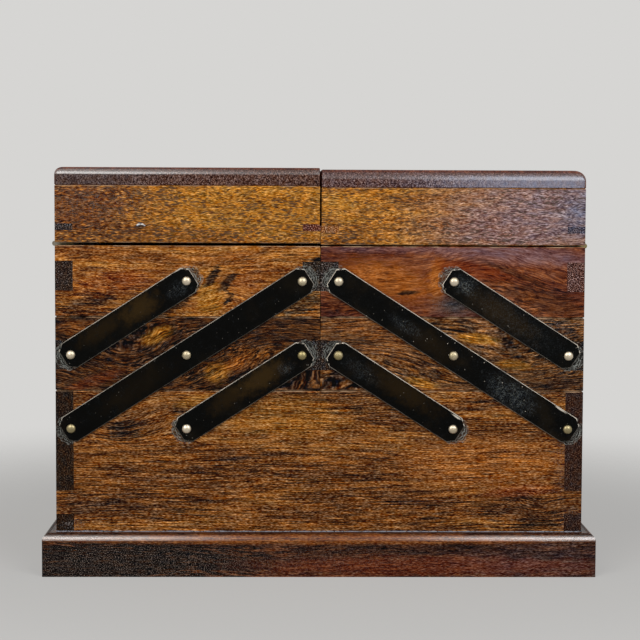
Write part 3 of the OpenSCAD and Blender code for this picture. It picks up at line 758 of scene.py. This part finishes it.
def outline(inner, outer, front, back, sign, radius):
    """Points along the three rounded edges seen from above, each with its outward direction."""
    arc_steps, spacing = 8, 4 * MM
    near_outer = outer - sign * radius
    path = []
    for start, end, out in (
        (Vector((inner, front)), Vector((near_outer, front)), Vector((0, -1))),
        (Vector((outer, front + radius)), Vector((outer, back - radius)), Vector((sign, 0))),
        (Vector((near_outer, back)), Vector((inner, back)), Vector((0, 1))),
    ):
        if path:
            before = path[-1][1]
            for step in range(1, arc_steps):
                turn = math.pi / 2 * step / arc_steps
                way = before * math.cos(turn) + out * math.sin(turn)
                path.append((start - (out - way) * radius, way))
        # The same number of points whatever the radius, so that rings can be joined
        run = abs(outer - inner) if out.x == 0 else back - front
        count = round(run / spacing)
        path += [(start.lerp(end, step / count), out) for step in range(count + 1)]
    return path


def rounded_board(name, low, high, sign, edge_round, lids):
    """A board whose top is rounded over along its front, outer side and back, a little
    unevenly, and which is cut off square with a small arris at the split."""
    inner, outer = (low.x, high.x) if sign > 0 else (high.x, low.x)
    lower_arris, steps = 0.4 * MM, 9
    bumps_per_metre, swells_per_metre = 22, 0.6 * 22
    # How far each ring of points lies back from the edge, from which height, and how far below it
    levels = [(lower_arris, low.z, 0), (0, low.z + lower_arris, 0), (0, low.z + 1.6 * lower_arris, 0)]
    for step in range(steps + 1):
        turn = math.pi / 2 * step / steps
        levels.append((edge_round * (1 - math.cos(turn)), high.z, edge_round * (1 - math.sin(turn))))
    levels.append((edge_round * 1.2, high.z, 0))
    made = bmesh.new()
    rings = []
    for back, height, drop in levels:
        ring = []
        # The corner widens with the way back, so that no ring folds over itself there
        corner = lids.corner_round + 1.2 * back
        for place, out in outline(inner, outer, low.y, high.y, sign, corner):
            along = Vector((*place, sign))
            inset = lids.unevenness * (0.5 + 0.5 * noise.noise(along * bumps_per_metre))
            swell = 1 + 0.1 * noise.noise(along * swells_per_metre)
            ring.append(made.verts.new((*(place - out * (inset + back * swell)), height - drop * swell)))
        rings.append(ring)
    for lower, upper in zip(rings, rings[1:]):
        for corners in zip(lower, lower[1:], upper[1:], upper):
            made.faces.new(corners)
    made.faces.new(rings[0])
    made.faces.new(rings[-1])
    split = made.faces.new([ring[0] for ring in rings] + [ring[-1] for ring in reversed(rings)])
    bmesh.ops.recalc_face_normals(made, faces=made.faces)
    bmesh.ops.bevel(made, geom=list(split.edges), offset=lids.inner_round, segments=2, profile=0.5,
                    affect="EDGES", clamp_overlap=True)
    for face in made.faces:
        face.smooth = len(face.verts) <= 4
    mesh = bpy.data.meshes.new(name)
    made.to_mesh(mesh)
    made.free()
    return mesh


class BOX_OT_lid_tops(bpy.types.Operator):
    """Shape the two lid tops, rounded over by hand along three edges and crisp at the split."""
    bl_idname = "expanding_box.lid_tops"
    bl_label = "Lid Tops"

    def execute(self, context):
        woods, lids = settings_of(context).woods, settings_of(context).lids
        for shift, (side, (changes, sheen)) in enumerate(LID_TOPS.items(), 50):
            node = f"{side}_lid_top"
            timber = Timber(woods, "top", **changes)
            edge_round = getattr(lids, f"{side}_round")
            mesh = rounded_board(f"{node}_board", *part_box(node), SIDES[side], edge_round, lids)
            mesh.materials.append(wood(node, woods, timber, "y", shift, sheens=[sheen], worn=0.0))
            add_piece(f"{node}_board", mesh, f"{side}_lid", [node])
        return {"FINISHED"}


class BOX_OT_arms(bpy.types.Operator):
    """Lacquer the arms black and file their bevels bright."""
    bl_idname = "expanding_box.arms"
    bl_label = "Arms"

    def execute(self, context):
        metals = settings_of(context).metals
        for name, looks in ARMS.items():
            side, arm = name.split("_")
            tray, rivet = {"long": ("upper", 1), "upper": ("upper", 0), "lower": ("middle", 2)}[arm]
            pivot = pivots_of(side)[f"{side}_{tray}_tray"][rivet]
            head = (pivot.x / MM, pivot.z / MM)
            node = f"{name}_arms"
            paint(node, lacquered_metal(node, metals, head, *looks))
        return {"FINISHED"}


class BOX_OT_hinges(bpy.types.Operator):
    """Give the lid hinges their dull brass and their screws steel."""
    bl_idname = "expanding_box.hinges"
    bl_label = "Hinges"

    def execute(self, context):
        metals = settings_of(context).metals
        brass = plain_metal("hinge_brass", metals.brass, metals.tarnish, 0.34, 0.2)
        steel = plain_metal("hinge_steel", metals.steel, metals.tarnish, 0.36, 0.5)
        for side in SIDES:
            for node in ("tray_hinge_leaves", "lid_hinge_leaves", "hinge_pins"):
                paint(f"{side}_{node}", brass)
            for node in ("tray_hinge_screws", "lid_hinge_screws"):
                paint(f"{side}_{node}", steel)
        return {"FINISHED"}


def geometry_tree(name, **sockets):
    """A geometry tree with a geometry input and output, and one named input for each size."""
    tree = bpy.data.node_groups.new(name, "GeometryNodeTree")
    tree.interface.new_socket("Geometry", in_out="INPUT", socket_type="NodeSocketGeometry")
    for label, kind in sockets.items():
        label = label.replace("_", " ").title()
        tree.interface.new_socket(label, in_out="INPUT", socket_type=f"NodeSocket{kind}")
    tree.interface.new_socket("Geometry", in_out="OUTPUT", socket_type="NodeSocketGeometry")
    return tree


def end_tree(g, geometry, material):
    """Ends a geometry tree with plain geometry that has its material."""
    solid = g.add("GeometryNodeRealizeInstances", {"Geometry": geometry})
    done = g.add("GeometryNodeSetMaterial", {"Geometry": solid, "Material": material})
    g.add("NodeGroupOutput", {0: done})


def run_tree(tree, mesh, values):
    """Runs a geometry tree on a mesh and returns the result as a plain mesh."""
    holder = bpy.data.objects.new(mesh.name, mesh)
    bpy.context.scene.collection.objects.link(holder)
    modifier = holder.modifiers.new(tree.name, "NODES")
    modifier.node_group = tree
    for item in tree.interface.items_tree:
        if item.in_out == "INPUT" and item.name in values:
            modifier[item.identifier] = values[item.name]
    graph = bpy.context.evaluated_depsgraph_get()
    result = bpy.data.meshes.new_from_object(holder.evaluated_get(graph))
    holder.modifiers.remove(modifier)
    bpy.data.objects.remove(holder)
    return result


def rivet_tree():
    """Domed rivets, one on each point, turned to the point's own direction."""
    tree = geometry_tree("domed_rivets", head_diameter="Float", head_height="Float",
                         shank_diameter="Float", shank_length="Float", seed="Int", material="Material")
    g = Graph(tree)
    given = g.add("NodeGroupInput")
    # The upper half of a ball makes the dome, and its lower half lies flat under it
    ball = g.add("GeometryNodeMeshUVSphere", {"Segments": 32, "Rings": 20, "Radius": 1.0})
    at = g.split(g.add("GeometryNodeInputPosition"))
    half = g.math("DIVIDE", given["Head Diameter"], 2.0)
    dome = g.most(at[2], 0.0) * given["Head Height"]
    spread = g.add("CombineXYZ", {0: at[0] * half, 1: at[1] * half, 2: dome})
    head = g.add("GeometryNodeSetPosition", {"Geometry": ball, "Position": spread})
    head = g.add("GeometryNodeSetShadeSmooth", {"Geometry": head})
    shank = g.add("GeometryNodeMeshCylinder", {
        "Vertices": 24, "Radius": g.math("DIVIDE", given["Shank Diameter"], 2.0),
        "Depth": given["Shank Length"],
    })
    # The shank's top lies just inside the head
    down = g.add("CombineXYZ", {2: given["Shank Length"] * -0.499})
    shank = g.add("GeometryNodeTransform", {"Geometry": shank, "Translation": down})
    whole = g.add("GeometryNodeJoinGeometry", {0: [head, shank]})
    # Each leans a little its own way, and no two heads are quite the same size
    facing = g.add("GeometryNodeInputNamedAttribute", {"Name": "facing"}, data_type="FLOAT_VECTOR")
    lean = g.add("FunctionNodeRandomValue", {0: (-0.05, -0.05, -0.05), 1: (0.05, 0.05, 0.05),
                                             "Seed": given["Seed"]}, data_type="FLOAT_VECTOR")
    turned = g.add("FunctionNodeAlignRotationToVector", {"Vector": facing + lean}, axis="Z")
    size = g.add("FunctionNodeRandomValue", {"Min": 0.96, "Max": 1.0, "Seed": given["Seed"]},
                 data_type="FLOAT")
    set_out = g.add("GeometryNodeInstanceOnPoints", {
        "Points": given["Geometry"], "Instance": whole, "Rotation": turned, "Scale": size})
    end_tree(g, set_out, given["Material"])
    return tree


def point_mesh(name, places, facings):
    """Loose points, each with the direction that it faces."""
    mesh = bpy.data.meshes.new(name)
    mesh.from_pydata(places, [], [])
    attribute = mesh.attributes.new("facing", "FLOAT_VECTOR", "POINT")
    for item, facing in zip(attribute.data, facings):
        item.vector = facing
    return mesh


class BOX_OT_rivets(bpy.types.Operator):
    """Set the domed rivets at the pivots of each body, at the front and at the back."""
    bl_idname = "expanding_box.rivets"
    bl_label = "Rivets"

    def execute(self, context):
        metals = settings_of(context).metals
        tree = rivet_tree()
        nickel = plain_metal("rivet_nickel", metals.nickel, metals.tarnish, 0.3, 0.05, TARNISHED)
        head_seat = HEAD_FACE - metals.head_height
        for seed, (body, pivots) in enumerate(rivets_by_body().items()):
            spots = [(pivot, way) for pivot in pivots for way in (-1, 1)]
            places = [(pivot.x, way * head_seat, pivot.z) for pivot, way in spots]
            points = point_mesh(f"{body}_domed_rivets", places, [(0, way, 0) for _, way in spots])
            mesh = run_tree(tree, points, {
                "Head Diameter": metals.head_diameter, "Head Height": metals.head_height,
                "Shank Diameter": metals.shank_diameter,
                "Shank Length": head_seat + FRONT + metals.shank_depth,
                "Seed": seed, "Material": nickel,
            })
            replaced = body.replace("_tray", "") + "_rivets"
            add_piece(f"{body}_domed_rivets", mesh, body, [replaced])
        return {"FINISHED"}


def wax_tree():
    """A lumpy bead along a line."""
    tree = geometry_tree("wax_line", radius="Float", spacing="Float", material="Material")
    g = Graph(tree)
    given = g.add("NodeGroupInput")
    curve = g.add("GeometryNodeMeshToCurve", {"Mesh": given["Geometry"]})
    curve = g.add("GeometryNodeResampleCurve", {"Curve": curve, "Length": given["Spacing"]}, mode="LENGTH")
    lumps = g.noise(g.add("GeometryNodeInputPosition"), 1 / (4 * MM))
    swell = g.step(lumps, 0.3, 0.7, 0.35, 1.0) * given["Radius"]
    section = g.add("GeometryNodeCurvePrimitiveCircle", {"Resolution": 8, "Radius": 1.0})
    bead = g.add("GeometryNodeCurveToMesh", {"Curve": curve, "Profile Curve": section, "Scale": swell})
    end_tree(g, g.add("GeometryNodeSetShadeSmooth", {"Geometry": bead}), given["Material"])
    return tree


class BOX_OT_wax_line(bpy.types.Operator):
    """Lay the thin line of old wax and dust where the base box meets its plinth."""
    bl_idname = "expanding_box.wax_line"
    bl_label = "Wax Line"

    def execute(self, context):
        settings = settings_of(context)
        radius = settings.lids.wax_radius
        # The bead lies mostly in the corner, so its middle is less than its radius out of it
        half_x, half_y = HALF_WIDTH + 0.2 * radius, -FRONT + 0.2 * radius
        z = PLINTH_TOP + 0.3 * radius
        corners = [(-half_x, -half_y, z), (half_x, -half_y, z), (half_x, half_y, z), (-half_x, half_y, z)]
        loop = bpy.data.meshes.new("wax_line")
        loop.from_pydata(corners, [(0, 1), (1, 2), (2, 3), (3, 0)], [])
        mesh = run_tree(wax_tree(), loop, {
            "Radius": radius, "Spacing": 1.5 * MM, "Material": dusty_wax("dusty_wax", settings.woods)})
        add_piece("wax_line", mesh, "base")
        return {"FINISHED"}


def add_camera(scene, stage):
    data = bpy.data.cameras.new("camera")
    data.lens = stage.camera_lens
    data.sensor_width = 36
    data.clip_start, data.clip_end = 0.01, 20
    camera = bpy.data.objects.new("camera", data)
    scene.collection.objects.link(camera)
    place = Vector((-stage.camera_side, FRONT - stage.camera_distance, stage.camera_height))
    yaw = Matrix.Rotation(-stage.camera_yaw, 4, "Z")
    pitch = Matrix.Rotation(math.pi / 2 - stage.camera_pitch, 4, "X")
    roll = Matrix.Rotation(stage.camera_roll, 4, "Z")
    camera.matrix_world = Matrix.Translation(place) @ (yaw @ pitch) @ roll
    scene.camera = camera


def seen_rays(g):
    """1 for rays from the camera, or mirrored or let through on their way to it."""
    path = g.add("LightPath")
    return g.most(path["Is Camera Ray"], path["Is Glossy Ray"], path["Is Transmission Ray"])


def add_world(scene, stage):
    scene.world = bpy.data.worlds.new("studio")
    scene.world.use_nodes = True
    g = Graph(scene.world.node_tree)
    strength = seen_rays(g) * (1 - stage.ambient) + stage.ambient
    light = g.add("Background", {"Color": (*stage.backdrop, 1), "Strength": strength})
    g.add("OutputWorld", {0: light})


def add_floor(scene, stage):
    """A round floor that fades into the backdrop, so that no horizon shows."""
    fade_start, fade_end = 0.2, 0.6
    made = bmesh.new()
    bmesh.ops.create_circle(made, cap_ends=True, segments=96, radius=2.0)
    mesh = bpy.data.meshes.new("floor")
    made.to_mesh(mesh)
    made.free()
    floor = bpy.data.objects.new("floor", mesh)
    scene.collection.objects.link(floor)
    g = new_material("pale_floor")
    away = g.math("LENGTH", g.add("TexCoord")["Object"])
    pale = g.add("BsdfDiffuse", {"Color": (*stage.floor, 1)})
    # What the camera sees of it is half the backdrop's even tone, and half lit, with the shadow
    even = g.add("Emission", {"Color": (*stage.backdrop, 1), "Strength": 1.0})
    lifted = g.add("MixShader", {0: seen_rays(g) * 0.5, 1: pale, 2: even})
    clear = g.add("BsdfTransparent")
    mesh.materials.append(g.finish("MixShader", {
        0: g.step(away, fade_start, fade_end), 1: lifted, 2: clear}))


class BOX_OT_stage(bpy.types.Operator):
    """Set out the pale floor, the backdrop light, two soft lamps and the camera."""
    bl_idname = "expanding_box.stage"
    bl_label = "Stage"

    def execute(self, context):
        stage = settings_of(context).stage
        context.scene.view_settings.view_transform = "Standard"
        add_camera(context.scene, stage)
        add_world(context.scene, stage)
        add_floor(context.scene, stage)
        # Two soft lamps in front and above, with a gap between them, so that the rounds along the
        # lids and the plinth shine most at their left and right ends
        for name, x, tint in (("left_lamp", -0.44, (1, 0.985, 0.96)), ("right_lamp", 0.47, (0.95, 0.975, 1))):
            lamp = bpy.data.lights.new(name, "AREA")
            lamp.shape = "RECTANGLE"
            lamp.size, lamp.size_y = 0.56, 0.6
            lamp.energy = stage.lamp_power
            lamp.color = tint
            holder = bpy.data.objects.new(name, lamp)
            context.scene.collection.objects.link(holder)
            holder.location = (x, -0.85, 0.6)
            # It looks at the front, halfway up and a little to its own side
            aim = Vector((0.25 * x, FRONT, 0.12)) - holder.location
            holder.rotation_euler = aim.to_track_quat("-Z", "Y").to_euler()
        return {"FINISHED"}


class BOX_PT_panel(bpy.types.Panel):
    """Lists the steps that finish the expanding box."""
    bl_idname = "BOX_PT_panel"
    bl_label = "Expanding Box"
    bl_space_type = "VIEW_3D"
    bl_region_type = "UI"
    bl_category = "Expanding Box"

    def draw(self, context):
        for step in STEPS:
            self.layout.operator(step.bl_idname)


STEPS = (
    BOX_OT_stage, BOX_OT_boards, BOX_OT_lid_tops, BOX_OT_arms, BOX_OT_hinges, BOX_OT_rivets,
    BOX_OT_wax_line,
)
CLASSES = (
    BOX_PG_woods, BOX_PG_metals, BOX_PG_lids, BOX_PG_stage, BOX_PG_settings, *STEPS, BOX_PT_panel,
)


def register():
    for item in CLASSES:
        bpy.utils.register_class(item)
    bpy.types.Scene.expanding_box = bpy.props.PointerProperty(
        type=BOX_PG_settings, name="Expanding Box", description="Settings of the expanding box")


def unregister():
    del bpy.types.Scene.expanding_box
    for item in reversed(CLASSES):
        bpy.utils.unregister_class(item)


def main():
    register()
    bpy.ops.expanding_box.stage()
    bpy.ops.expanding_box.boards()
    bpy.ops.expanding_box.lid_tops()
    bpy.ops.expanding_box.arms()
    bpy.ops.expanding_box.hinges()
    bpy.ops.expanding_box.rivets()
    bpy.ops.expanding_box.wax_line()


if __name__ == "__main__":
    main()
